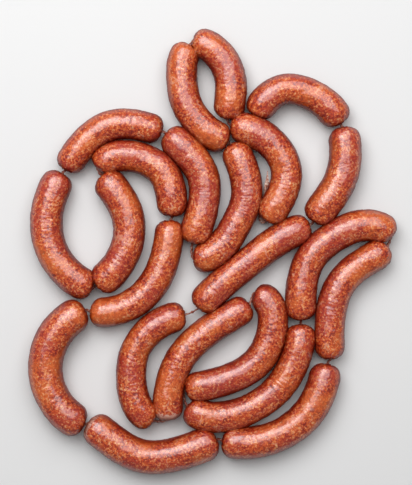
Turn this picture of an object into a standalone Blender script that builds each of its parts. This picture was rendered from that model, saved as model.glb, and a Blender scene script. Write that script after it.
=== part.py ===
"""A string of raw sausage links, laid flat in one loose run of bends.

Twenty-two links hang together in one chain. Every link is a plump tube of meat in a natural
casing, and the twisted casing between two links is a short thin cord. The string lies on a
flat surface, so each link carries a narrow flat underneath. Metres, +Z up.
"""

import math
from typing import NamedTuple

import bmesh
import bpy
from mathutils import Vector
from mathutils.geometry import interpolate_bezier

MM = 0.001

SIDES = 12  # flats round a link
CORNER = 1.0233  # corner radius over nominal radius: a twelve-sided section keeps the round area
BOTTOM = CORNER * math.cos(math.pi / SIDES)  # depth of the flat underneath, over nominal radius
DOME_RINGS = (10.0, 32.0, 52.0, 71.0)  # degrees round a domed end, from its tip
DOME_LENGTH = 1.02  # length of a domed end over nominal radius
MIDDLE_RINGS = 8
SAG = 0.42  # how far a domed end droops as it narrows
TWIST_RADIUS = 1.3
TWIST_CLEAR = 0.9  # free space between a twist and the link at each side
TWIST_DIP = 1.2
SAMPLES = 96


class Spot(NamedTuple):
    """A place on the flat surface in mm, and the casing's heading there in degrees from +X."""

    x: float
    y: float
    heading: float


class Link(NamedTuple):
    """One link: where it starts, the middle of its bend, where it ends, and its girth across."""

    start: Spot
    belly: Spot
    end: Spot
    girth: float


# In the order that they hang in the string.
LINKS = (
    Link(Spot(48, 149, 65), Spot(90, 178, -9), Spot(141.5, 140.8, -62), 32),
    Link(Spot(144.2, 135.5, -80), Spot(143.5, 85, -106), Spot(112, 32.5, -120), 32.5),
    Link(Spot(107, 27.3, 195), Spot(53.2, -2.3, 219), Spot(-14.5, -62.5, 232), 32),
    Link(Spot(-30, -70.5, 187), Spot(-88.5, -127, 265), Spot(-65, -187, -25), 31),
    Link(Spot(-48.7, -185, 92), Spot(-36.5, -121.5, 60), Spot(41, -60, 32), 30),
    Link(Spot(47.5, -46.5, -15), Spot(60, -107, 245), Spot(-28.3, -152.2, 191), 31.5),
    Link(Spot(-27, -171.7, -40), Spot(56, -165.7, 33), Spot(98.5, -81.5, 88), 31.5),
    Link(Spot(98, -75, 92), Spot(116, 1, 45), Spot(198, 17, -45), 32.5),
    Link(Spot(193, 3.2, 215), Spot(142.7, -34.7, 237), Spot(131, -118, -84), 31.5),
    Link(Spot(127, -125, -100), Spot(97.5, -187, 222), Spot(12, -209, 168), 32.5),
    Link(Spot(5, -208, 200), Spot(-70, -226.5, 176), Spot(-136, -190, 150), 33.5),
    Link(Spot(-141.5, -192, 155), Spot(-183, -128, 90), Spot(-139.5, -65, 22), 35.5),
    Link(Spot(-133, -67, -8), Spot(-72, -45.5, 47), Spot(-45.5, 33, 86), 30.5),
    Link(Spot(-44, 39, 88), Spot(-64, 95.5, 150), Spot(-125, 91, 235), 32),
    Link(Spot(-120.6, 82.4, -48), Spot(-91, 28, -87), Spot(-127, -37, 212), 32),
    Link(Spot(-132, -41, 160), Spot(-182, 28, 92), Spot(-165.5, 85.2, 62), 33.5),
    Link(Spot(-161.5, 90, 58), Spot(-112, 137.6, 18), Spot(-55.5, 132, -15), 31),
    Link(Spot(-49.5, 129.5, -42), Spot(-7.7, 70, -88), Spot(-21.1, 9.3, -104), 32.5),
    Link(Spot(-20, -7.5, -8), Spot(33.2, 42.5, 65), Spot(21.7, 117, 121), 32),
    Link(Spot(17, 120, 158), Spot(-31.5, 175, 99), Spot(-25, 226, 55), 31.5),
    Link(Spot(-20.5, 231.5, -10), Spot(20, 190, -80), Spot(17, 145.5, -98), 32.5),
    Link(Spot(21.5, 137.6, -5), Spot(79.8, 97, -69), Spot(60.3, 33, -120), 32.5),
)

# The empty casing past the last link: from its tip, under the bend and up into the gap.
TAIL = (
    (59, 31.6, 9),
    (55.5, 33, 5),
    (53.5, 41, 3.6),
    (53.8, 51, 4),
    (57, 61, 8),
    (59.8, 70, 13),
    (60.8, 79, 17),
    (61, 88, 18),
)
TAIL_RADIUS = 1.1


def clear_scene():
    """Removes every object, so that only the string is left."""
    for obj in list(bpy.data.objects):
        bpy.data.objects.remove(obj, do_unlink=True)


def finish(name, colour, roughness, coat=0.0):
    """A Principled material of one colour."""
    material = bpy.data.materials.new(name)
    material.use_nodes = True
    shader = material.node_tree.nodes["Principled BSDF"]
    shader.inputs["Base Color"].default_value = (*colour, 1.0)
    shader.inputs["Roughness"].default_value = roughness
    shader.inputs["Metallic"].default_value = 0.0
    shader.inputs["Coat Weight"].default_value = coat
    return material


def heading(degrees):
    """The unit vector in the plane at this heading."""
    angle = math.radians(degrees)
    return Vector((math.cos(angle), math.sin(angle)))


def place_of(spot):
    """The spot's place in the plane, in mm."""
    return Vector((spot.x, spot.y))


def bend(start, end):
    """Points along an even bend from one spot to another, in mm."""
    turn = math.radians((end.heading - start.heading + 180.0) % 360.0 - 180.0)
    a, b = place_of(start), place_of(end)
    hold = (b - a).length / (3.0 * math.cos(turn / 4.0) ** 2)
    return interpolate_bezier(
        a.to_3d(),
        (a + heading(start.heading) * hold).to_3d(),
        (b - heading(end.heading) * hold).to_3d(),
        b.to_3d(),
        SAMPLES,
    )


def centreline(link):
    """Points along the middle of a link, in mm: one bend to its belly and one beyond."""
    return bend(link.start, link.belly) + bend(link.belly, link.end)[1:]


def stations(length, radius):
    """The distances along a link where a ring stands, with the ring's share of the radius."""
    dome = radius * DOME_LENGTH
    near = [
        (dome * (1.0 - math.cos(math.radians(a))), math.sin(math.radians(a)))
        for a in DOME_RINGS
    ]
    span = length - 2.0 * dome
    middle = [(dome + span * i / (MIDDLE_RINGS - 1), 1.0) for i in range(MIDDLE_RINGS)]
    far = [(length - place, share) for place, share in reversed(near)]
    return near + middle + far


def walk(points, places):
    """The point at each distance along a run of points."""
    found = []
    passed = 0.0
    step = 0
    for place in places:
        while step < len(points) - 2 and passed + (points[step + 1] - points[step]).length < place:
            passed += (points[step + 1] - points[step]).length
            step += 1
        run = (points[step + 1] - points[step]).length
        found.append(points[step].lerp(points[step + 1], (place - passed) / run))
    return found


def section_curve():
    """The twelve-sided outline that is swept along a link, flat at the top and underneath."""
    data = bpy.data.curves.new("section", "CURVE")
    data.dimensions = "2D"
    spline = data.splines.new("POLY")
    spline.points.add(SIDES - 1)
    for i, point in enumerate(spline.points):
        angle = math.tau * (i + 0.5) / SIDES
        point.co = (CORNER * math.cos(angle), CORNER * math.sin(angle), 0.0, 1.0)
    spline.use_cyclic_u = True
    guide = bpy.data.objects.new("section", data)
    guide.hide_render = True
    guide.display_type = "WIRE"
    guides = bpy.data.collections.new("guides")
    bpy.context.scene.collection.children.link(guides)
    guides.objects.link(guide)
    return guide


def swept(name, path, radii, collection, material, bevel=None):
    """A closed tube along a path, as a mesh object. Path and radii in metres."""
    data = bpy.data.curves.new(name + "_path", "CURVE")
    data.dimensions = "3D"
    data.twist_mode = "Z_UP"
    data.use_fill_caps = True
    if bevel is None:
        data.bevel_depth = 1.0
        data.bevel_resolution = 1
    else:
        data.bevel_mode = "OBJECT"
        data.bevel_object = bevel
    spline = data.splines.new("POLY")
    spline.points.add(len(path) - 1)
    for point, place, radius in zip(spline.points, path, radii):
        point.co = (*place, 1.0)
        point.radius = radius
    guide = bpy.data.objects.new(name + "_path", data)
    bpy.context.scene.collection.objects.link(guide)
    bpy.context.view_layer.update()
    graph = bpy.context.evaluated_depsgraph_get()
    mesh = bpy.data.meshes.new_from_object(guide.evaluated_get(graph))
    bpy.data.objects.remove(guide, do_unlink=True)
    mesh.name = name
    form = bmesh.new()
    form.from_mesh(mesh)
    bmesh.ops.remove_doubles(form, verts=form.verts, dist=1e-6)
    bmesh.ops.recalc_face_normals(form, faces=form.faces)
    form.to_mesh(mesh)
    form.free()
    mesh.materials.clear()
    mesh.materials.append(material)
    mesh.shade_smooth()
    obj = bpy.data.objects.new(name, mesh)
    collection.objects.link(obj)
    return obj


def droop(obj, link, radius):
    """Lowers the domed ends of a link a little as they narrow, since the twist pulls them down."""
    ends = (
        (place_of(link.start), heading(link.start.heading)),
        (place_of(link.end), -heading(link.end.heading)),
    )
    dome = radius * DOME_LENGTH
    for vertex in obj.data.vertices:
        place = vertex.co.xy / MM
        for tip, inward in ends:
            ahead = min(max((place - tip).dot(inward) / dome, 0.0), 1.0)
            if (place - tip).length < 1.6 * radius:
                share = math.sqrt(1.0 - (1.0 - ahead) ** 2)
                vertex.co.z -= SAG * radius * MM * (1.0 - share)


def link_object(index, section, collection, material):
    """One link, resting on z = 0."""
    link = LINKS[index]
    radius = link.girth / 2.0
    points = centreline(link)
    length = sum((b - a).length for a, b in zip(points, points[1:]))
    rings = stations(length, radius)
    places = walk(points, [place for place, _ in rings])
    height = BOTTOM * radius
    path = [Vector((p.x * MM, p.y * MM, height * MM)) for p in places]
    radii = [share * radius * MM for _, share in rings]
    obj = swept(f"link_{index + 1:02d}", path, radii, collection, material, section)
    droop(obj, link, radius)
    return obj


def tip_height(link):
    """The height of a link's narrowed tip, in mm."""
    return link.girth / 2.0 * (BOTTOM - SAG * (1.0 - math.sin(math.radians(DOME_RINGS[0]))))


def twist_object(index, collection, material):
    """The twisted casing between two links."""
    before, after = LINKS[index], LINKS[index + 1]
    into = heading(before.end.heading).to_3d()
    out = heading(after.start.heading).to_3d()
    a = place_of(before.end).to_3d() + Vector((0, 0, tip_height(before)))
    b = place_of(after.start).to_3d() + Vector((0, 0, tip_height(after)))
    a += into * TWIST_CLEAR
    b -= out * TWIST_CLEAR
    hold = (b - a).length * 0.3
    dip = Vector((0, 0, -TWIST_DIP))
    points = interpolate_bezier(a, a + into * hold + dip, b - out * hold + dip, b, 5)
    path = [p * MM for p in points]
    radii = [TWIST_RADIUS * MM * r for r in (1.0, 0.85, 0.8, 0.85, 1.0)]
    return swept(f"twist_{index + 1:02d}", path, radii, collection, material)


def tail_object(collection, material):
    """The thin end of casing that trails from the last link."""
    path = [Vector(place) * MM for place in TAIL]
    radii = [TAIL_RADIUS * MM] * len(path)
    return swept("casing_tail", path, radii, collection, material)


def centre(objects):
    """Moves the string so that the middle of its box is over the origin, resting on z = 0."""
    places = [v.co for obj in objects for v in obj.data.vertices]
    low = Vector([min(p[i] for p in places) for i in range(3)])
    high = Vector([max(p[i] for p in places) for i in range(3)])
    shift = Vector((-(low.x + high.x) / 2.0, -(low.y + high.y) / 2.0, -low.z))
    for obj in objects:
        for vertex in obj.data.vertices:
            vertex.co += shift


def main():
    clear_scene()
    string = bpy.data.collections.new("sausage_string")
    bpy.context.scene.collection.children.link(string)
    meat = finish("meat_in_casing", (0.45, 0.13, 0.08), 0.35, coat=0.4)
    casing = finish("twisted_casing", (0.52, 0.26, 0.18), 0.4)
    section = section_curve()
    objects = [link_object(i, section, string, meat) for i in range(len(LINKS))]
    objects += [twist_object(i, string, casing) for i in range(len(LINKS) - 1)]
    objects.append(tail_object(string, casing))
    centre(objects)


main()
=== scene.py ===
"""A string of raw sausage links in natural casing, laid flat in loose bends.

Every link is swept along the spine of its solid by one Geometry Nodes tree, which also gives the
casing its lumps, wrinkles and gathered ends. The twisted casing between links is swept by a second
tree. Distances are in metres unless a name says otherwise.
"""

import logging
import math
from collections.abc import Sequence
from dataclasses import dataclass, field
from enum import Enum
from typing import Any

import bmesh
import bpy
import numpy as np
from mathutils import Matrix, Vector


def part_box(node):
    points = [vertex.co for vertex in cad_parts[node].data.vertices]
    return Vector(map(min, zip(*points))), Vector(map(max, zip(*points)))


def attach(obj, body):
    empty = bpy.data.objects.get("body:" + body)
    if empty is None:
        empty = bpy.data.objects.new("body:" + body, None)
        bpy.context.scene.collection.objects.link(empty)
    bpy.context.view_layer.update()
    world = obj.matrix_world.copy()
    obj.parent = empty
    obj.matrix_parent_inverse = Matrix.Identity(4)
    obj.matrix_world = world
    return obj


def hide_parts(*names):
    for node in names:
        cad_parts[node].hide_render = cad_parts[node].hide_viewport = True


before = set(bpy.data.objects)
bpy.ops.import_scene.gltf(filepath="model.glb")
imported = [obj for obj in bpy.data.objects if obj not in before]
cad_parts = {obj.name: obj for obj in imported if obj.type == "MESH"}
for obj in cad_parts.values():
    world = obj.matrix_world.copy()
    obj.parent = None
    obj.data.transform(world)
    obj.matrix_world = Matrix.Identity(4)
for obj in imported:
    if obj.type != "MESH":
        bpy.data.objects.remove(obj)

logging.basicConfig(level=logging.INFO, format="%(message)s")
LOG = logging.getLogger("sausage_string")

MM = 0.001
LINK_COUNT = 22
RING_SIDES = 12
SAME_PLACE = 2e-6
TINY = 1e-6
RING_REACH = 1.5
CURVE_STEPS = 800
MIX_COLOUR_A, MIX_COLOUR_B, MIX_COLOUR_RESULT = 6, 7, 2
Colour = tuple[int, int, int]
Band = tuple[float, float]
# How far the casing is empty at the first and last end of a link, where it is.
SLACK = {5: (14.5 * MM, 0.0), 11: (0.0, 11.0 * MM)}
# Links that are fuller than the rest, as a share of their solid's radius.
PLUMP = {2: 1.11, 5: 1.12, 10: 1.1, 11: 1.11, 13: 1.1, 14: 1.09, 15: 1.12, 18: 1.1, 20: 1.09}


class Slot(Enum):
    """The record's material slots."""

    MEAT = "meat_in_casing"
    CASING = "twisted_casing"


class Tag(Enum):
    """Names of the attributes that a spine hands on to its skin."""

    RADIUS = "link_radius"
    ALONG = "along"
    TO_TIP = "to_tip"
    INWARD = "inward"
    ROUND = "round"
    EMPTY = "empty_casing"
    # Painted shade: how far the skin faces downward; it darkens the lower flanks' colour and thins
    # their coat.
    PAINTED_SHADE = "painted_flank_shade"


# --------------------------------------------------------------------------- node graphs


class Graph:
    """A thin helper over a node tree: makes nodes, sums and links in one call."""

    def __init__(self, tree: bpy.types.NodeTree) -> None:
        """Keeps the tree.

        Args:
            tree: The node tree to add nodes to.
        """
        self.tree = tree

    def add(self, kind: str, inputs: dict[Any, Any] | None = None, **settings: Any) -> Any:
        """Adds a node.

        Args:
            kind: The node's type name.
            inputs: Values or sockets for its inputs, by name or number.
            settings: Properties of the node itself.

        Returns:
            The new node.
        """
        node = self.tree.nodes.new(kind)
        for key, value in settings.items():
            setattr(node, key, value)
        for key, value in (inputs or {}).items():
            self.feed(node.inputs[key], value)
        return node

    def feed(self, socket: Any, value: Any) -> None:
        """Links a socket to an input, or sets the input's own value.

        Args:
            socket: The input socket.
            value: Another node's output socket, or a plain value.
        """
        if isinstance(value, bpy.types.NodeSocket):
            self.tree.links.new(value, socket)
        else:
            socket.default_value = value

    def math(self, operation: str, *values: Any, clamp: bool = False) -> Any:
        """Adds a Math node.

        Args:
            operation: The operation's name.
            values: Up to three numbers or sockets.
            clamp: Whether the result is held between 0 and 1.

        Returns:
            The result's socket.
        """
        node = self.add("ShaderNodeMath", dict(enumerate(values)), operation=operation)
        node.use_clamp = clamp
        return node.outputs[0]

    def vector(self, operation: str, *values: Any) -> Any:
        """Adds a Vector Math node.

        Args:
            operation: The operation's name.
            values: Vectors or sockets.

        Returns:
            The result's socket: the number for a length or a dot product.
        """
        node = self.add("ShaderNodeVectorMath", dict(enumerate(values)), operation=operation)
        return node.outputs["Value" if operation in ("DOT_PRODUCT", "LENGTH") else "Vector"]

    def scaled(self, vector: Any, factor: Any) -> Any:
        """Adds a Vector Math node that scales.

        Args:
            vector: The vector.
            factor: The number that it is multiplied by.

        Returns:
            The scaled vector's socket.
        """
        node = self.add("ShaderNodeVectorMath", {0: vector, "Scale": factor}, operation="SCALE")
        return node.outputs["Vector"]

    def noise(self, where: Any, scale: float, detail: float = 2.0, **inputs: Any) -> Any:
        """Adds a noise texture.

        Args:
            where: The coordinates.
            scale: How many features fit in one unit of them.
            detail: How many finer layers are added.
            inputs: More input values, by name.

        Returns:
            The node.
        """
        values = {"Vector": where, "Scale": scale, "Detail": detail, **inputs}
        return self.add("ShaderNodeTexNoise", values)

    def ramp(self, factor: Any, low: float, high: float, smooth: bool = True) -> Any:
        """Adds a map from one range of numbers onto 0 to 1.

        Args:
            factor: The number.
            low: Where the result is 0.
            high: Where the result is 1.
            smooth: Whether the ends are eased.

        Returns:
            The result's socket.
        """
        node = self.add(
            "ShaderNodeMapRange",
            {"Value": factor, "From Min": low, "From Max": high},
            interpolation_type="SMOOTHSTEP" if smooth else "LINEAR",
        )
        return node.outputs["Result"]

    def blend(self, factor: Any, a: Any, b: Any, mode: str = "MIX") -> Any:
        """Adds a Mix node for colours.

        Args:
            factor: How much of the second colour is seen.
            a: The first colour.
            b: The second colour.
            mode: The blend's name.

        Returns:
            The result's socket.
        """
        node = self.add("ShaderNodeMix", data_type="RGBA", blend_type=mode)
        self.feed(node.inputs["Factor"], factor)
        self.feed(node.inputs[MIX_COLOUR_A], a)
        self.feed(node.inputs[MIX_COLOUR_B], b)
        return node.outputs[MIX_COLOUR_RESULT]


def srgb(red: int, green: int, blue: int) -> tuple[float, float, float, float]:
    """Turns a colour as a screen shows it into the linear one that a shader takes.

    Args:
        red: 0 to 255.
        green: 0 to 255.
        blue: 0 to 255.

    Returns:
        The linear colour, opaque.
    """

    def linear(value: int) -> float:
        """One channel made linear."""
        share = value / 255.0
        return share / 12.92 if share <= 0.04045 else ((share + 0.055) / 1.055) ** 2.4

    return linear(red), linear(green), linear(blue), 1.0


# --------------------------------------------------------------------------- finishes


@dataclass(frozen=True)
class MeatFinish:
    """Coarse ground pork seen through a moist natural casing."""

    name: str = "meat_in_casing"
    dark_lean: Colour = (136, 26, 5)
    lean: Colour = (186, 52, 15)
    ripe: Colour = (210, 80, 26)
    orange: Colour = (230, 114, 42)
    cream: Colour = (246, 186, 134)
    crimson: Colour = (178, 50, 40)
    skin_fold: Colour = (240, 186, 160)
    bare_casing: Colour = (222, 178, 160)
    # Painted shade: the colour that the lower flanks are multiplied by, so they look shaded.
    flank_shade_tint: Colour = (152, 98, 80)
    stir_mm: float = 4.0
    stir_reach_mm: float = 4.2
    broad_mm: float = 42.0
    patchy_mm: float = 14.0
    smear_mm: float = 2.7
    fleck_mm: float = 2.6
    grain_mm: float = 1.3
    fat_mm: float = 2.3
    vein_mm: float = 7.0
    thread_mm: float = 9.0
    fold_mm: float = 20.0
    damp_mm: float = 9.0
    fleck_share: float = 0.16
    grain_share: float = 0.17
    patchy_share: float = 0.36
    tone_places: tuple[float, ...] = (0.34, 0.42, 0.53, 0.63, 0.79)
    red_band: Band = (0.50, 0.64)
    warm_band: Band = (0.49, 0.36)
    fat_core: Band = (0.40, 0.24)
    fat_chosen: Band = (0.86, 0.9)
    vein_band: Band = (0.022, 0.0)
    thread_level: float = 0.46
    thread_band: Band = (0.024, 0.006)
    thread_kept: Band = (0.46, 0.58)
    fold_band: Band = (0.018, 0.004)
    fold_kept: Band = (0.50, 0.60)
    bare_ragged: float = 0.8
    bare_band: Band = (0.30, 0.42)
    zone_share: float = 0.5
    fat_share: float = 0.62
    vein_share: float = 0.35
    thread_share: float = 0.45
    fold_share: float = 0.38
    bare_share: float = 0.8
    gloss: float = 0.45
    gloss_drift: float = 0.22
    shine: float = 0.35
    wet_roughness: float = 0.17
    wet_ior: float = 1.75
    glow: float = 0.12
    glow_mm: float = 2.0
    bump_mm: float = 0.1
    bump_strength: float = 0.5

    @staticmethod
    def fine(graph: Graph, where: Any, size_mm: float, detail: float, **inputs: Any) -> Any:
        """Adds soft noise of a given size.

        Args:
            graph: The graph.
            where: The coordinates.
            size_mm: How big its features are.
            detail: How many finer layers are added.
            inputs: More input values of the noise, by name.

        Returns:
            The noise's socket.
        """
        return graph.noise(where, 1 / (size_mm * MM), detail, **inputs).outputs["Fac"]

    @staticmethod
    def cells(graph: Graph, where: Any, size_mm: float) -> tuple[Any, Any]:
        """Adds cells of a given size, each with its own random numbers.

        Args:
            graph: The graph.
            where: The coordinates.
            size_mm: How big a cell is.

        Returns:
            The distance from a cell's middle, and the sockets of its random numbers.
        """
        node = graph.add("ShaderNodeTexVoronoi", {"Vector": where, "Scale": 1 / (size_mm * MM)})
        picks = graph.add("ShaderNodeSeparateColor", {0: node.outputs["Color"]})
        return node.outputs["Distance"], picks.outputs

    @staticmethod
    def line(graph: Graph, noise: Any, level: float, band: Band) -> Any:
        """Draws lines where a noise passes through a level.

        Args:
            graph: The graph.
            noise: The noise's socket.
            level: The level.
            band: How far from the level a line ends, and where it is at its full strength.

        Returns:
            The lines' socket.
        """
        gap = graph.math("ABSOLUTE", graph.math("SUBTRACT", noise, level))
        return graph.ramp(gap, *band)

    @staticmethod
    def cover(graph: Graph, colour: Any, amount: Any, share: float, over: Colour) -> Any:
        """Lays one colour over another.

        Args:
            graph: The graph.
            colour: The colour underneath.
            amount: Where the new colour goes.
            share: How much it covers there.
            over: The new colour.

        Returns:
            The result's socket.
        """
        return graph.blend(graph.math("MULTIPLY", amount, share), colour, srgb(*over))

    def minced(self, graph: Graph, pick: Any) -> Any:
        """Turns the mince's number into a colour, from dark lean meat to fat.

        Args:
            graph: The graph.
            pick: The number.

        Returns:
            The colour's socket.
        """
        tone = graph.add("ShaderNodeValToRGB", {0: pick})
        colours = (self.dark_lean, self.lean, self.ripe, self.orange, self.cream)
        band = tone.color_ramp
        while len(band.elements) < len(colours):
            band.elements.new(0.5)
        for element, place, colour in zip(band.elements, self.tone_places, colours):
            element.position = place
            element.color = srgb(*colour)
        return tone.outputs["Color"]

    def material(self) -> bpy.types.Material:
        """Builds the material.

        Returns:
            The finished material.
        """
        made = bpy.data.materials.new(self.name)
        made.use_nodes = True
        graph = Graph(made.node_tree)
        shader = made.node_tree.nodes["Principled BSDF"]
        where = graph.add("ShaderNodeTexCoord").outputs["Object"]
        stir = graph.noise(where, 1 / (self.stir_mm * MM), 3.0).outputs["Color"]
        stir = graph.vector("SUBTRACT", stir, (0.5, 0.5, 0.5))
        stirred = graph.vector("ADD", where, graph.scaled(stir, self.stir_reach_mm * MM))
        broad = self.fine(graph, where, self.broad_mm, 2.0)
        patchy = self.fine(graph, where, self.patchy_mm, 2.0)
        smear = self.fine(graph, stirred, self.smear_mm, 3.0, Roughness=0.6)
        _, fleck = self.cells(graph, stirred, self.fleck_mm)
        _, grain = self.cells(graph, stirred, self.grain_mm)
        pick = smear
        for part, share in (
            (fleck[0], self.fleck_share),
            (grain[0], self.grain_share),
            (patchy, self.patchy_share),
        ):
            pick = graph.math("MULTIPLY_ADD", graph.math("SUBTRACT", part, 0.5), share, pick)
        colour = self.minced(graph, pick)
        red = graph.ramp(broad, *self.red_band)
        colour = self.cover(graph, colour, red, self.zone_share, self.crimson)
        warm = graph.ramp(broad, *self.warm_band)
        colour = self.cover(graph, colour, warm, self.zone_share, self.orange)
        middle, fat = self.cells(graph, stirred, self.fat_mm)
        chosen = graph.ramp(fat[1], *self.fat_chosen)
        lump = graph.math("MULTIPLY", graph.ramp(middle, *self.fat_core), chosen)
        colour = self.cover(graph, colour, lump, self.fat_share, self.cream)
        vein_noise = self.fine(graph, stirred, self.vein_mm, 3.0)
        vein = self.line(graph, vein_noise, 0.5, self.vein_band)
        colour = self.cover(graph, colour, vein, self.vein_share, self.dark_lean)
        thread = self.fine(graph, stirred, self.thread_mm, 1.0, Distortion=0.6)
        thread = self.line(graph, thread, self.thread_level, self.thread_band)
        thread = graph.math("MULTIPLY", thread, graph.ramp(smear, *self.thread_kept))
        colour = self.cover(graph, colour, thread, self.thread_share, self.cream)
        crossing = self.fine(graph, where, self.fold_mm, 1.0, Distortion=0.4)
        crossing = self.line(graph, crossing, 0.5, self.fold_band)
        crossing = graph.math("MULTIPLY", crossing, graph.ramp(patchy, *self.fold_kept))
        colour = self.cover(graph, colour, crossing, self.fold_share, self.skin_fold)
        loose = graph.add("ShaderNodeAttribute", attribute_name=Tag.EMPTY.value).outputs["Fac"]
        ragged = graph.math("SUBTRACT", smear, 0.5)
        ragged = graph.math("MULTIPLY_ADD", ragged, self.bare_ragged, loose)
        bare = graph.ramp(ragged, *self.bare_band)
        colour = self.cover(graph, colour, bare, self.bare_share, self.bare_casing)
        # Painted shade: the lower flanks are multiplied towards a darker tint, and their coat is
        # thinned there.
        flank_shade_mask = graph.add("ShaderNodeAttribute", attribute_name=Tag.PAINTED_SHADE.value)
        flank_shade_mask = flank_shade_mask.outputs["Fac"]
        colour = graph.blend(flank_shade_mask, colour, srgb(*self.flank_shade_tint), "MULTIPLY")
        graph.feed(shader.inputs["Base Color"], colour)
        damp = self.fine(graph, where, self.damp_mm, 2.0)
        least = self.gloss - self.gloss_drift / 2.0
        rough = graph.math("MULTIPLY_ADD", damp, self.gloss_drift, least)
        graph.feed(shader.inputs["Roughness"], rough)
        graph.feed(shader.inputs["Coat Weight"], graph.math("SUBTRACT", 1.0, flank_shade_mask))
        height = graph.math("MULTIPLY_ADD", fleck[2], 0.5, vein_noise)
        bump = graph.add(
            "ShaderNodeBump",
            {"Height": height, "Distance": self.bump_mm * MM, "Strength": self.bump_strength},
        )
        graph.feed(shader.inputs["Normal"], bump.outputs["Normal"])
        shader.inputs["Specular IOR Level"].default_value = self.shine
        shader.inputs["Coat Roughness"].default_value = self.wet_roughness
        shader.inputs["Coat IOR"].default_value = self.wet_ior
        shader.inputs["Subsurface Weight"].default_value = self.glow
        shader.inputs["Subsurface Radius"].default_value = (1.0, 0.35, 0.2)
        shader.inputs["Subsurface Scale"].default_value = self.glow_mm * MM
        return made


@dataclass(frozen=True)
class CasingFinish:
    """Empty casing, twisted on itself and moist."""

    name: str = "twisted_casing"
    flesh: Colour = (140, 62, 46)
    pale: Colour = (190, 128, 108)
    streak_mm: float = 2.5
    streak_band: Band = (0.4, 0.65)
    gloss: float = 0.3
    wet: float = 0.3
    wet_roughness: float = 0.15

    def material(self) -> bpy.types.Material:
        """Builds the material.

        Returns:
            The finished material.
        """
        made = bpy.data.materials.new(self.name)
        made.use_nodes = True
        graph = Graph(made.node_tree)
        shader = made.node_tree.nodes["Principled BSDF"]
        where = graph.add("ShaderNodeTexCoord").outputs["Object"]
        streak = graph.noise(where, 1 / (self.streak_mm * MM), 3.0).outputs["Fac"]
        streak = graph.ramp(streak, *self.streak_band)
        colour = graph.blend(streak, srgb(*self.flesh), srgb(*self.pale))
        graph.feed(shader.inputs["Base Color"], colour)
        shader.inputs["Roughness"].default_value = self.gloss
        shader.inputs["Coat Weight"].default_value = self.wet
        shader.inputs["Coat Roughness"].default_value = self.wet_roughness
        return made


@dataclass(frozen=True)
class FloorFinish:
    """The plain pale surface under the string."""

    name: str = "pale_surface"
    shade: float = 0.815
    roughness: float = 0.6
    shine: float = 0.2

    def material(self) -> bpy.types.Material:
        """Builds the material.

        Returns:
            The finished material.
        """
        made = bpy.data.materials.new(self.name)
        made.use_nodes = True
        shader = made.node_tree.nodes["Principled BSDF"]
        shader.inputs["Base Color"].default_value = (self.shade, self.shade, self.shade, 1.0)
        shader.inputs["Roughness"].default_value = self.roughness
        shader.inputs["Specular IOR Level"].default_value = self.shine
        return made


# --------------------------------------------------------------------------- spines


def distances(points: np.ndarray) -> np.ndarray:
    """Measures along a line.

    Args:
        points: The line's points, one a row.

    Returns:
        The distance of each point from the first, along the line.
    """
    steps = np.linalg.norm(np.diff(points, axis=0), axis=1)
    return np.concatenate([[0.0], np.cumsum(steps)])


@dataclass
class Spine:
    """The middle line of a swept piece, with its radius at each point."""

    points: np.ndarray
    radii: np.ndarray
    inward: np.ndarray
    empty: np.ndarray

    def guide(self, name: str) -> bpy.types.Object:
        """Makes a line of edges that holds the spine's values as attributes.

        Args:
            name: The object's name.

        Returns:
            The line, as a mesh object.
        """
        mesh = bpy.data.meshes.new(name)
        count = len(self.points)
        edges = [(i, i + 1) for i in range(count - 1)]
        mesh.from_pydata([tuple(p) for p in self.points], edges, [])
        along = distances(self.points)
        to_tip = np.minimum(along, along[-1] - along)
        for tag, values in (
            (Tag.RADIUS, self.radii),
            (Tag.ALONG, along),
            (Tag.TO_TIP, to_tip),
            (Tag.EMPTY, self.empty),
        ):
            layer = mesh.attributes.new(tag.value, "FLOAT", "POINT")
            layer.data.foreach_set("value", np.asarray(values, np.float32))
        layer = mesh.attributes.new(Tag.INWARD.value, "FLOAT_VECTOR", "POINT")
        layer.data.foreach_set("vector", np.asarray(self.inward, np.float32).ravel())
        obj = bpy.data.objects.new(name, mesh)
        bpy.context.scene.collection.objects.link(obj)
        return obj


def smooth_path(knots: np.ndarray, spacing: float) -> np.ndarray:
    """Runs a natural cubic spline through points and spaces it evenly.

    Args:
        knots: The points, one a row.
        spacing: The distance between points of the result.

    Returns:
        The evenly spaced points.
    """
    at = distances(knots)
    steps = np.diff(at)
    count = len(knots)
    system = np.zeros((count, count))
    right = np.zeros(knots.shape)
    system[0, 0] = system[-1, -1] = 1.0
    for i in range(1, count - 1):
        before, after = steps[i - 1], steps[i]
        system[i, i - 1 : i + 2] = before, 2.0 * (before + after), after
        right[i] = 6.0 * (
            (knots[i + 1] - knots[i]) / after - (knots[i] - knots[i - 1]) / before
        )
    bends = np.linalg.solve(system, right)
    dense = np.linspace(0.0, at[-1], CURVE_STEPS)
    span = np.clip(np.searchsorted(at, dense, "right") - 1, 0, count - 2)
    width = steps[span][:, None]
    after = (dense - at[span])[:, None]
    before = width - after
    curve = (
        bends[span] * before**3 / (6.0 * width)
        + bends[span + 1] * after**3 / (6.0 * width)
        + (knots[span] / width - bends[span] * width / 6.0) * before
        + (knots[span + 1] / width - bends[span + 1] * width / 6.0) * after
    )
    run = distances(curve)
    places = np.linspace(0.0, run[-1], max(int(round(run[-1] / spacing)), 4) + 1)
    return np.stack([np.interp(places, run, curve[:, i]) for i in range(3)], axis=1)


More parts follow.
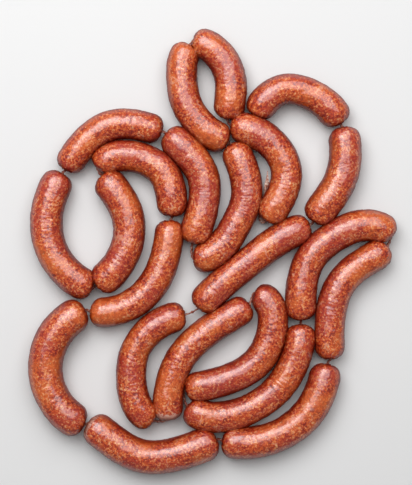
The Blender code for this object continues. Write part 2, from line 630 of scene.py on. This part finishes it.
def levels_from(edge: bmesh.types.BMEdge) -> list[list[Vector]]:
    """Spreads over a solid ring by ring, from the ring that an edge lies in.

    Args:
        edge: An edge that may lie in the ring at one end.

    Returns:
        The vertices' places, one list for each step away from the first ring.
    """
    reach = edge.calc_length() * RING_REACH
    ring = set(edge.verts)
    fresh = list(ring)
    while fresh:
        vertex = fresh.pop()
        for near in vertex.link_edges:
            other = near.other_vert(vertex)
            if near.calc_length() < reach and other not in ring:
                ring.add(other)
                fresh.append(other)
    seen = set(ring)
    levels = []
    while ring:
        levels.append([vertex.co.copy() for vertex in ring])
        ring = {e.other_vert(v) for v in ring for e in v.link_edges} - seen
        seen |= ring
    return levels


def rings_of(node: str, sides: int = RING_SIDES) -> tuple[np.ndarray, np.ndarray]:
    """Reads the rings that a link's solid is skinned over.

    Args:
        node: The CAD node's name.
        sides: How many corners each of its rings has.

    Returns:
        The middle of each ring from one end to the other, and its mean radius.
    """
    form = bmesh.new()
    form.from_mesh(bpy.data.objects[node].data)
    bmesh.ops.remove_doubles(form, verts=form.verts, dist=SAME_PLACE)
    levels: list[list[Vector]] = []
    for edge in sorted(form.edges, key=lambda one: one.calc_length()):
        levels = levels_from(edge)
        if len(levels) > 2 and {len(level) for level in levels} == {sides}:
            break
    form.free()
    centres, radii = [], []
    for level in levels:
        places = np.array(level)
        centres.append(places.mean(axis=0))
        radii.append(float(np.linalg.norm(places - centres[-1], axis=1).mean()))
    return np.array(centres), np.array(radii)


def middle_of(node: str) -> np.ndarray:
    """The middle of a CAD node's box."""
    low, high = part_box(node)
    return (np.array(low) + np.array(high)) / 2.0


# --------------------------------------------------------------------------- node trees


@dataclass
class SweepTree:
    """A Geometry Nodes tree that sweeps a round skin along a spine."""

    name: str
    sizes: dict[str, float] = field(default_factory=dict)

    def start(self) -> tuple[Graph, Any, Any]:
        """Makes the tree with its named inputs.

        Returns:
            The graph, the group's input node and the mesh's socket after the sweep.
        """
        tree = bpy.data.node_groups.new(self.name, "GeometryNodeTree")
        face = tree.interface
        face.new_socket("Spine", in_out="INPUT", socket_type="NodeSocketGeometry")
        sides = face.new_socket("Sides", in_out="INPUT", socket_type="NodeSocketInt")
        sides.default_value = 32
        face.new_socket("Seed", in_out="INPUT", socket_type="NodeSocketFloat")
        for size, value in self.sizes.items():
            socket = face.new_socket(size, in_out="INPUT", socket_type="NodeSocketFloat")
            socket.default_value = value
        face.new_socket("Finish", in_out="INPUT", socket_type="NodeSocketMaterial")
        face.new_socket("Skin", in_out="OUTPUT", socket_type="NodeSocketGeometry")
        graph = Graph(tree)
        given = graph.add("NodeGroupInput")
        line = graph.add("GeometryNodeMeshToCurve", {"Mesh": given.outputs["Spine"]})
        upright = graph.add(
            "GeometryNodeSetCurveNormal", {"Curve": line.outputs["Curve"]}, mode="Z_UP"
        )
        ring = graph.add(
            "GeometryNodeCurvePrimitiveCircle",
            {"Resolution": given.outputs["Sides"], "Radius": 1.0},
        )
        share = graph.add("GeometryNodeSplineParameter")
        marked = graph.add(
            "GeometryNodeStoreNamedAttribute",
            {
                "Geometry": ring.outputs["Curve"],
                "Name": Tag.ROUND.value,
                "Value": share.outputs["Factor"],
            },
            data_type="FLOAT",
            domain="POINT",
        )
        skin = graph.add(
            "GeometryNodeCurveToMesh",
            {
                "Curve": upright.outputs["Curve"],
                "Profile Curve": marked.outputs["Geometry"],
                "Scale": self.read(graph, Tag.RADIUS),
                "Fill Caps": True,
            },
        )
        return graph, given, skin.outputs["Mesh"]

    @staticmethod
    def read(graph: Graph, tag: Tag) -> Any:
        """Reads an attribute.

        Args:
            graph: The graph that reads it.
            tag: The attribute.

        Returns:
            The attribute's socket.
        """
        kind = "FLOAT_VECTOR" if tag is Tag.INWARD else "FLOAT"
        node = graph.add("GeometryNodeInputNamedAttribute", {"Name": tag.value}, data_type=kind)
        return node.outputs["Attribute"]

    def wrapped(self, graph: Graph, seed: Any, across: Any, lengthways: Any) -> Any:
        """Makes coordinates that follow the skin round and along, with no seam.

        Args:
            graph: The graph.
            seed: A number that sets this piece's pattern apart.
            across: How much the pattern is stretched round the piece.
            lengthways: How much it is stretched along the piece.

        Returns:
            The coordinates' socket.
        """
        turn = graph.math("MULTIPLY", self.read(graph, Tag.ROUND), math.tau)
        parts = graph.add(
            "ShaderNodeCombineXYZ",
            {
                0: graph.math("MULTIPLY", graph.math("COSINE", turn), across),
                1: graph.math("MULTIPLY", graph.math("SINE", turn), across),
                2: graph.math("MULTIPLY", self.read(graph, Tag.ALONG), lengthways),
            },
        )
        shift = graph.add("ShaderNodeCombineXYZ", {0: seed, 1: seed, 2: seed})
        return graph.vector("ADD", parts.outputs[0], shift.outputs[0])

    def finish(self, graph: Graph, given: Any, mesh: Any) -> bpy.types.NodeTree:
        """Ends the tree: smooth faces, real geometry and the finish.

        Args:
            graph: The graph.
            given: The group's input node.
            mesh: The last mesh socket.

        Returns:
            The finished tree.
        """
        smooth = graph.add("GeometryNodeSetShadeSmooth", {"Geometry": mesh})
        real = graph.add(
            "GeometryNodeRealizeInstances", {"Geometry": smooth.outputs["Geometry"]}
        )
        dressed = graph.add(
            "GeometryNodeSetMaterial",
            {"Geometry": real.outputs["Geometry"], "Material": given.outputs["Finish"]},
        )
        graph.add("NodeGroupOutput", {"Skin": dressed.outputs["Geometry"]})
        return graph.tree


@dataclass
class LinkTree(SweepTree):
    """The tree for a filled link: lumps, wrinkles, gathered ends, a flat underneath and a mask for
    painted shade on the lower flanks.
    """

    name: str = "filled_link"
    sizes: dict[str, float] = field(
        default_factory=lambda: {
            "Swell": 0.9 * MM,
            "Lump": 0.95 * MM,
            "Grain": 0.42 * MM,
            "Wrinkle": 0.42 * MM,
            "Pleat": 1.2 * MM,
            "Pleat Run": 6.0 * MM,
            "Settle": 1.4 * MM,
        }
    )
    swell_mm: float = 26.0
    lump_mm: float = 9.0
    grain_mm: float = 3.2
    calm_tip: float = 9.0 * MM
    wrinkle_mm: float = 4.6
    wrinkle_round: float = 0.6
    wrinkle_width: float = 0.085
    wrinkle_patch_mm: float = 19.0
    patch_band: Band = (0.48, 0.62)
    inner_band: Band = (-0.1, 0.7)
    inner_least: float = 0.35
    outer_most: float = 0.6
    pleat_mm: float = 16.0
    pleat_round: float = 3.4
    pleat_width: float = 0.16
    # Painted shade: the range of the normal's upward part over which the lower flanks go from
    # unshaded to fully shaded.
    flank_shade_band: Band = (0.92, 0.22)

    def build(self) -> bpy.types.NodeTree:
        """Builds the tree.

        Returns:
            The finished tree.
        """
        graph, given, skin = self.start()
        seed = given.outputs["Seed"]
        to_tip = self.read(graph, Tag.TO_TIP)
        place = graph.add("GeometryNodeInputPosition").outputs["Position"]
        normal = graph.add("GeometryNodeInputNormal").outputs["Normal"]
        away = graph.ramp(to_tip, 0.0, self.calm_tip)

        def bulge(size: str, pitch_mm: float) -> Any:
            """One layer of soft lumps, as high as the named size."""
            texture = graph.noise(place, 1 / (pitch_mm * MM), 1.0).outputs["Fac"]
            centred = graph.math("SUBTRACT", texture, 0.5)
            return graph.math("MULTIPLY", centred, given.outputs[size])

        relief = graph.math("ADD", bulge("Swell", self.swell_mm), bulge("Lump", self.lump_mm))
        relief = graph.math("ADD", relief, bulge("Grain", self.grain_mm))
        relief = graph.math("MULTIPLY", relief, away)
        inner = graph.vector("DOT_PRODUCT", normal, self.read(graph, Tag.INWARD))
        hold = graph.ramp(inner, *self.inner_band)
        cross = self.wrapped(graph, seed, self.wrinkle_round, 1 / (self.wrinkle_mm * MM))
        crease = graph.noise(cross, 1.0, 2.0, Distortion=0.4).outputs["Fac"]
        crease = graph.math("ABSOLUTE", graph.math("SUBTRACT", crease, 0.5))
        crease = graph.ramp(crease, self.wrinkle_width, 0.0)
        patch = graph.noise(place, 1 / (self.wrinkle_patch_mm * MM), 1.0).outputs["Fac"]
        patch = graph.ramp(patch, *self.patch_band)
        least = self.inner_least
        strength = graph.math("MULTIPLY_ADD", patch, 1.0 - least, least)
        strength = graph.math("MULTIPLY", hold, strength)
        outer = graph.math("MULTIPLY", patch, self.outer_most)
        strength = graph.math("MAXIMUM", strength, outer)
        crease = graph.math("MULTIPLY", crease, strength)
        crease = graph.math("MULTIPLY", crease, given.outputs["Wrinkle"])
        relief = graph.math("SUBTRACT", relief, crease)
        radial = self.wrapped(graph, seed, self.pleat_round, 1 / (self.pleat_mm * MM))
        fold = graph.noise(radial, 1.0, 1.0).outputs["Fac"]
        fold = graph.math("ABSOLUTE", graph.math("SUBTRACT", fold, 0.5))
        fold = graph.ramp(fold, self.pleat_width, 0.0)
        fade = graph.math("DIVIDE", to_tip, given.outputs["Pleat Run"])
        fade = graph.math("EXPONENT", graph.math("MULTIPLY", fade, -1.0))
        fold = graph.math("MULTIPLY", graph.math("MULTIPLY", fold, fade), given.outputs["Pleat"])
        relief = graph.math("SUBTRACT", relief, fold)
        moved = graph.add(
            "GeometryNodeSetPosition",
            {"Geometry": skin, "Offset": graph.scaled(normal, relief)},
        )
        spot = graph.add("ShaderNodeSeparateXYZ", {0: place})
        rest = graph.math("SMOOTH_MAX", spot.outputs["Z"], 0.0, given.outputs["Settle"])
        settled = graph.add(
            "ShaderNodeCombineXYZ", {0: spot.outputs["X"], 1: spot.outputs["Y"], 2: rest}
        )
        laid = graph.add(
            "GeometryNodeSetPosition",
            {"Geometry": moved.outputs["Geometry"], "Position": settled.outputs[0]},
        )
        # Painted shade: stores how far each point faces downward, for the finish to darken the
        # lower flanks.
        facing = graph.add("ShaderNodeSeparateXYZ", {0: normal})
        flank_shade_mask = graph.add(
            "GeometryNodeStoreNamedAttribute",
            {
                "Geometry": laid.outputs["Geometry"],
                "Name": Tag.PAINTED_SHADE.value,
                "Value": graph.ramp(facing.outputs["Z"], *self.flank_shade_band),
            },
            data_type="FLOAT",
            domain="POINT",
        )
        return self.finish(graph, given, flank_shade_mask.outputs["Geometry"])


@dataclass
class TwistTree(SweepTree):
    """The tree for empty casing, wrung into a cord."""

    name: str = "wrung_casing"
    sizes: dict[str, float] = field(
        default_factory=lambda: {
            "Strands": 3.0,
            "Lobe": 0.28,
            "Turns per Metre": 190.0,
            "Ruffle": 0.3 * MM,
        }
    )
    ruffle_mm: float = 2.2

    def build(self) -> bpy.types.NodeTree:
        """Builds the tree.

        Returns:
            The finished tree.
        """
        graph, given, skin = self.start()
        place = graph.add("GeometryNodeInputPosition").outputs["Position"]
        normal = graph.add("GeometryNodeInputNormal").outputs["Normal"]
        turn = graph.math("MULTIPLY", self.read(graph, Tag.ROUND), math.tau)
        turn = graph.math("MULTIPLY", turn, given.outputs["Strands"])
        wind = graph.math("MULTIPLY", self.read(graph, Tag.ALONG), given.outputs["Turns per Metre"])
        wind = graph.math("MULTIPLY_ADD", wind, math.tau, turn)
        lobe = graph.math("MULTIPLY", graph.math("SINE", wind), given.outputs["Lobe"])
        lobe = graph.math("MULTIPLY", lobe, self.read(graph, Tag.RADIUS))
        ruffle = graph.noise(place, 1 / (self.ruffle_mm * MM), 2.0).outputs["Fac"]
        ruffle = graph.math("SUBTRACT", ruffle, 0.5)
        ruffle = graph.math("MULTIPLY", ruffle, given.outputs["Ruffle"])
        moved = graph.add(
            "GeometryNodeSetPosition",
            {"Geometry": skin, "Offset": graph.scaled(normal, graph.math("ADD", lobe, ruffle))},
        )
        return self.finish(graph, given, moved.outputs["Geometry"])


def skinned(
    name: str,
    spine: Spine,
    tree: bpy.types.NodeTree,
    sides: int,
    seed: float,
    finish: bpy.types.Material,
    sizes: dict[str, float] | None = None,
) -> bpy.types.Object:
    """Sweeps a skin along a spine and turns it into a plain mesh.

    Args:
        name: The piece's name.
        spine: The spine to follow.
        tree: The tree that makes the skin.
        sides: How many faces go round it.
        seed: A number that sets its relief apart.
        finish: The material.
        sizes: Other values of the tree's named inputs, where they aren't the usual ones.

    Returns:
        The finished piece.
    """
    guide = spine.guide(name + "_spine")
    modifier = guide.modifiers.new("skin", "NODES")
    modifier.node_group = tree
    values: dict[str, Any] = {"Sides": sides, "Seed": seed, "Finish": finish, **(sizes or {})}
    for item in tree.interface.items_tree:
        if item.item_type == "SOCKET" and item.in_out == "INPUT" and item.name in values:
            modifier[item.identifier] = values[item.name]
    bpy.context.view_layer.update()
    graph = bpy.context.evaluated_depsgraph_get()
    mesh = bpy.data.meshes.new_from_object(guide.evaluated_get(graph))
    bpy.data.objects.remove(guide, do_unlink=True)
    mesh.name = name
    piece = bpy.data.objects.new(name, mesh)
    bpy.context.scene.collection.objects.link(piece)
    return piece


def hand_over(piece: bpy.types.Object, node: str) -> None:
    """Tells the frame what a finished piece rides on and stands for.

    Args:
        piece: The finished piece.
        node: The CAD node that it stands for.
    """
    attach(piece, "root")
    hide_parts(node)
    LOG.info("%s: %d faces", piece.name, len(piece.data.polygons))


# --------------------------------------------------------------------------- the string


@dataclass
class SausageLink:
    """One filled link, on the spine of its solid."""

    number: int
    fill: float = 1.075
    spacing: float = 0.85 * MM
    sides: int = 104
    dome: float = 0.9
    dome_power: float = 2.45
    tip_radius: float = 1.5 * MM
    nod: float = 4.6 * MM
    nod_run: float = 1.7
    corner: float = 1.0233
    uneven: float = 0.02
    waves: tuple[tuple[float, float, float], ...] = ((0.6, 17 * MM, 1.7), (0.4, 31 * MM, 2.9))
    full_share: float = 0.995
    bend_hold: float = 1.6
    slack: tuple[float, float] = (0.0, 0.0)

    @property
    def node(self) -> str:
        """The CAD node that this link stands for."""
        return f"link_{self.number:02d}"

    def knots(self) -> tuple[np.ndarray, float]:
        """Reads the solid's spine, from the string's start to its end.

        Returns:
            The spine's knots and the link's radius.
        """
        centres, radii = rings_of(self.node)
        radius = float(radii.max()) / self.corner
        height = float(np.median(centres[:, 2]))
        keep = radii > radii.max() * self.full_share
        keep[0] = keep[-1] = True
        knots = centres[keep].copy()
        knots[:, 2] = height
        before = self.number > 1
        twist = middle_of(f"twist_{self.number - 1 if before else self.number:02d}")
        at_start = np.linalg.norm((knots[0] - twist)[:2]) < np.linalg.norm((knots[-1] - twist)[:2])
        return (knots if at_start == before else knots[::-1]), radius

    def spine(self) -> Spine:
        """Works out the spine with its rounded, nodding ends.

        Returns:
            The spine.
        """
        knots, radius = self.knots()
        points = smooth_path(knots, self.spacing)
        along = distances(points)
        to_tip = np.minimum(along, along[-1] - along)
        wave = sum(
            height * np.sin(along / length + self.number * shift)
            for height, length, shift in self.waves
        )
        full = radius * self.fill * (1.0 + self.uneven * wave)
        share = np.clip(1.0 - to_tip / (radius * self.dome), 0.0, 1.0)
        shape = (1.0 - share**self.dome_power) ** (1.0 / self.dome_power)
        radii = self.tip_radius + (full - self.tip_radius) * shape
        run = np.clip(1.0 - to_tip / (radius * self.nod_run), 0.0, 1.0)
        points[:, 2] -= self.nod * run**2
        heading = np.gradient(points, axis=0)
        heading /= np.linalg.norm(heading, axis=1)[:, None]
        bend = np.gradient(heading, axis=0) / self.spacing
        inward = bend * radius
        inward[:, 2] = 0.0
        length = np.linalg.norm(inward, axis=1)[:, None]
        inward *= np.minimum(1.0, self.bend_hold * length) / np.maximum(length, TINY)
        start, end = self.slack
        first = np.clip(1.0 - along / max(start, TINY), 0.0, 1.0)
        last = np.clip(1.0 - (along[-1] - along) / max(end, TINY), 0.0, 1.0)
        return Spine(points, radii, inward, np.maximum(first, last))

    def build(self, tree: bpy.types.NodeTree, finish: bpy.types.Material) -> Spine:
        """Builds the link and hands it to the frame.

        Args:
            tree: The tree that makes its skin.
            finish: Its material.

        Returns:
            The spine, for the twists at its ends.
        """
        spine = self.spine()
        piece = skinned(
            f"sausage_{self.number:02d}", spine, tree, self.sides, self.number * 13.7, finish
        )
        hand_over(piece, self.node)
        return spine


@dataclass
class CasingTwist:
    """The wrung casing between two links, with a knot in it where the casing was tied."""

    number: int
    radius: float = 1.25 * MM
    flare: float = 1.6 * MM
    flare_run: float = 1.6 * MM
    reach: float = 0.34
    dip: float = 1.0 * MM
    sides: int = 20
    knot: float = 0.0
    knot_run: float = 1.3 * MM
    sunk: float = 1.2 * MM
    steps: int = 48

    @property
    def node(self) -> str:
        """The CAD node that this twist stands for."""
        return f"twist_{self.number:02d}"

    def spine(self, before: Spine, after: Spine) -> Spine:
        """Runs from one link's tip to the next one's.

        Args:
            before: The spine of the link that ends here.
            after: The spine of the link that starts here.

        Returns:
            The twist's spine.
        """
        a, b = before.points[-1], after.points[0]
        into = a - before.points[-4]
        out = after.points[3] - b
        into, out = into / np.linalg.norm(into), out / np.linalg.norm(out)
        a, b = a - into * self.sunk, b + out * self.sunk
        hold = np.linalg.norm(b - a) * self.reach
        t = np.linspace(0.0, 1.0, self.steps + 1)[:, None]
        points = (
            (1 - t) ** 3 * a
            + 3 * (1 - t) ** 2 * t * (a + into * hold)
            + 3 * (1 - t) * t**2 * (b - out * hold)
            + t**3 * b
        )
        points[:, 2] -= self.dip * np.sin(np.pi * t[:, 0])
        along = distances(points)
        near = np.minimum(along, along[-1] - along)
        radii = self.radius + self.flare * np.exp(-near / self.flare_run)
        radii += self.knot * np.exp(-(((along - along[-1] / 2.0) / self.knot_run) ** 2))
        return Spine(points, radii, np.zeros_like(points), np.ones(len(points)))

    def build(
        self, before: Spine, after: Spine, tree: bpy.types.NodeTree, finish: bpy.types.Material
    ) -> None:
        """Builds the twist and hands it to the frame.

        Args:
            before: The spine of the link that ends here.
            after: The spine of the link that starts here.
            tree: The tree that makes its skin.
            finish: Its material.
        """
        spine = self.spine(before, after)
        piece = skinned(
            f"casing_twist_{self.number:02d}", spine, tree, self.sides, self.number * 5.1, finish
        )
        hand_over(piece, self.node)


@dataclass
class CasingTail:
    """The loose end of empty casing, a limp ribbon that is turned on itself."""

    node: str = "casing_tail"
    ring_sides: int = 6
    radius: float = 1.35 * MM
    swell: float = 0.5 * MM
    ripples: float = 11.0
    blunt_share: float = 0.35
    taper_share: float = 0.04
    spacing: float = 0.4 * MM
    sides: int = 28
    seed: float = 3.0

    def build(self, tree: bpy.types.NodeTree, finish: bpy.types.Material) -> None:
        """Builds the tail and hands it to the frame.

        Args:
            tree: The tree that makes its skin.
            finish: Its material.
        """
        centres, _ = rings_of(self.node, self.ring_sides)
        points = smooth_path(centres, self.spacing)
        share = np.linspace(0.0, 1.0, len(points))
        radii = self.radius + self.swell * np.sin(share * self.ripples)
        ends = np.minimum(share, 1.0 - share) / self.taper_share
        blunt = self.blunt_share
        radii *= np.clip(blunt + (1.0 - blunt) * ends, blunt, 1.0)
        spine = Spine(points, radii, np.zeros_like(points), np.ones(len(points)))
        sizes = {"Strands": 2.0, "Lobe": 0.5, "Turns per Metre": 45.0, "Ruffle": 0.7 * MM}
        piece = skinned("casing_loose_end", spine, tree, self.sides, self.seed, finish, sizes)
        hand_over(piece, self.node)


# Twists that differ: the thin knotted one, and three thicker ones in the open.
TIED = {
    3: CasingTwist(3, radius=0.6 * MM, knot=0.9 * MM, flare_run=2.6 * MM, dip=0.3 * MM),
    8: CasingTwist(8, radius=1.4 * MM, flare=1.8 * MM, reach=0.16),
    14: CasingTwist(14, radius=1.8 * MM, flare=2.2 * MM),
    19: CasingTwist(19, radius=1.7 * MM, flare=2.0 * MM),
}


# --------------------------------------------------------------------------- the set


@dataclass(frozen=True)
class SoftLamp:
    """A rectangular lamp that faces the string."""

    name: str
    place: tuple[float, float, float]
    size: tuple[float, float]
    power: float


@dataclass(frozen=True)
class Studio:
    """The pale floor, the soft lamps and the camera straight above."""

    floor_size: float = 8.0
    view_height: float = 0.5335
    distance: float = 1.6
    middle: tuple[float, float, float] = (-0.0075, 0.0098, 0.016)
    lamps: tuple[SoftLamp, ...] = (
        SoftLamp("broad_lamp", (-0.05, 0.79, 1.55), (2.5, 2.0), 32.0),
        SoftLamp("near_lamp", (-0.5, 1.0, 1.65), (1.2, 1.0), 11.0),
    )
    fill: float = 0.18

    def floor(self) -> None:
        """Lays the floor just under the string."""
        mesh = bpy.data.meshes.new("floor")
        half = self.floor_size / 2.0
        corners = [(-half, -half, 0.0), (half, -half, 0.0), (half, half, 0.0), (-half, half, 0.0)]
        mesh.from_pydata(corners, [], [(0, 1, 2, 3)])
        mesh.materials.append(FloorFinish().material())
        floor = bpy.data.objects.new("floor", mesh)
        bpy.context.scene.collection.objects.link(floor)

    def hang(self, lamp: SoftLamp) -> None:
        """Hangs one lamp so that it faces the string.

        Args:
            lamp: The lamp's place, size and power.
        """
        data = bpy.data.lights.new(lamp.name, "AREA")
        data.shape = "RECTANGLE"
        data.size, data.size_y = lamp.size
        data.energy = lamp.power
        hung = bpy.data.objects.new(lamp.name, data)
        hung.location = lamp.place
        hung.rotation_euler = (-Vector(lamp.place)).to_track_quat("-Z", "Y").to_euler()
        bpy.context.scene.collection.objects.link(hung)

    def light(self) -> None:
        """Hangs the lamps and sets an even fill all round."""
        for lamp in self.lamps:
            self.hang(lamp)
        world = bpy.data.worlds.new("studio")
        world.use_nodes = True
        back = world.node_tree.nodes["Background"]
        back.inputs["Color"].default_value = (1.0, 1.0, 1.0, 1.0)
        back.inputs["Strength"].default_value = self.fill
        bpy.context.scene.world = world

    def camera(self) -> None:
        """Puts the camera straight above."""
        data = bpy.data.cameras.new("camera")
        data.sensor_width = 36.0
        data.lens = 36.0 * self.distance / self.view_height
        camera = bpy.data.objects.new("camera", data)
        x, y, z = self.middle
        camera.location = (x, y, z + self.distance)
        bpy.context.scene.collection.objects.link(camera)
        bpy.context.scene.camera = camera

    def build(self) -> None:
        """Builds the whole set."""
        self.floor()
        self.light()
        self.camera()
        scene = bpy.context.scene
        scene.view_settings.view_transform = "Standard"
        scene.view_settings.look = "None"


def main() -> None:
    """Builds the string link by link, then its twists, then the set."""
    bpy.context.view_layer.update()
    meat = MeatFinish().material()
    casing = CasingFinish().material()
    link_tree = LinkTree().build()
    twist_tree = TwistTree().build()
    spines = [
        SausageLink(
            number,
            fill=PLUMP.get(number, SausageLink.fill),
            slack=SLACK.get(number, SausageLink.slack),
        ).build(link_tree, meat)
        for number in range(1, LINK_COUNT + 1)
    ]
    for number in range(1, LINK_COUNT):
        twist = TIED.get(number, CasingTwist(number))
        twist.build(spines[number - 1], spines[number], twist_tree, casing)
    loose = CasingFinish("loose_casing", flesh=(176, 104, 84), pale=(234, 206, 190)).material()
    CasingTail().build(twist_tree, loose)
    Studio().build()


if __name__ == "__main__":
    main()
